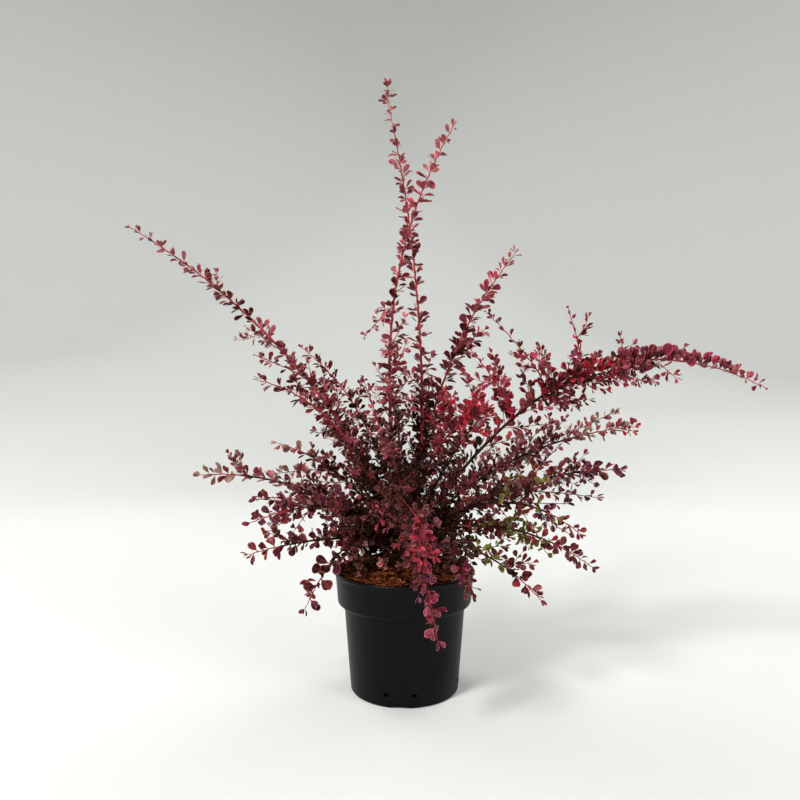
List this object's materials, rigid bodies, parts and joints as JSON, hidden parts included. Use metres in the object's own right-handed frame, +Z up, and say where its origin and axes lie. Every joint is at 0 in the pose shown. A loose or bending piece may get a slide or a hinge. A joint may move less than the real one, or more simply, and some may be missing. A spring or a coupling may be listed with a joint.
{
  "type": "potted rose glow japanese barberry",
  "caption": "Young many-caned barberry shrub with small burgundy leaves and long arching shoots, standing in a round black nursery pot filled with coir potting mix.",
  "frame": {"origin": "centre of the pot's flat underside, on the surface it stands on", "axes": "+Z up along the pot's centre line, -Y towards the front of the plant, +X towards the side of the long arching cane that leans over furthest to the right"},
  "size_m": [0.6596, 0.3897, 0.6515],
  "materials": {
    "pot_plastic": "satin black, moulded",
    "coir_mix": "loose orange-brown coir fibre and bark chips",
    "stem_bark": "rough grey-brown bark",
    "cane_bark": "grooved dark red bark",
    "foliage": "satin burgundy leaves on red twigs"
  },
  "bodies": {
    "root": {"cane_back_left": "cane_bark", "cane_back_middle": "cane_bark", "cane_back_right": "cane_bark", "cane_far_left_arch": "cane_bark", "cane_front_droop": "cane_bark", "cane_front_red": "cane_bark", "cane_front_rise": "cane_bark", "cane_leaning": "cane_bark", "cane_left_long": "cane_bark", "cane_left_low": "cane_bark", "cane_left_spray": "cane_bark", "cane_left_upper": "cane_bark", "cane_right_arch": "cane_bark", "cane_right_high": "cane_bark", "cane_right_low": "cane_bark", "cane_right_low_arch": "cane_bark", "cane_right_mid": "cane_bark", "cane_spire": "cane_bark", "cane_tall": "cane_bark", "cane_upper_left": "cane_bark", "foliage_back_left": "foliage", "foliage_back_low_left": "foliage", "foliage_back_low_middle": "foliage", "foliage_back_low_right": "foliage", "foliage_back_middle": "foliage", "foliage_back_right": "foliage", "foliage_centre_left": "foliage", "foliage_far_left_arch": "foliage", "foliage_front_centre": "foliage", "foliage_front_droop": "foliage", "foliage_front_red": "foliage", "foliage_front_right_droop": "foliage", "foliage_front_rise": "foliage", "foliage_inner_back": "foliage", "foliage_inner_front": "foliage", "foliage_inner_left": "foliage", "foliage_inner_right": "foliage", "foliage_leaning": "foliage", "foliage_left_droop": "foliage", "foliage_left_long": "foliage", "foliage_left_low": "foliage", "foliage_left_lower": "foliage", "foliage_left_spray": "foliage", "foliage_left_upper": "foliage", "foliage_right_arch": "foliage", "foliage_right_droop": "foliage", "foliage_right_high": "foliage", "foliage_right_low": "foliage", "foliage_right_low_arch": "foliage", "foliage_right_mid": "foliage", "foliage_spire": "foliage", "foliage_tall": "foliage", "foliage_upper_left": "foliage", "pot": "pot_plastic", "potting_mix": "coir_mix", "short_stem": "stem_bark"}
  },
  "joints": []
}
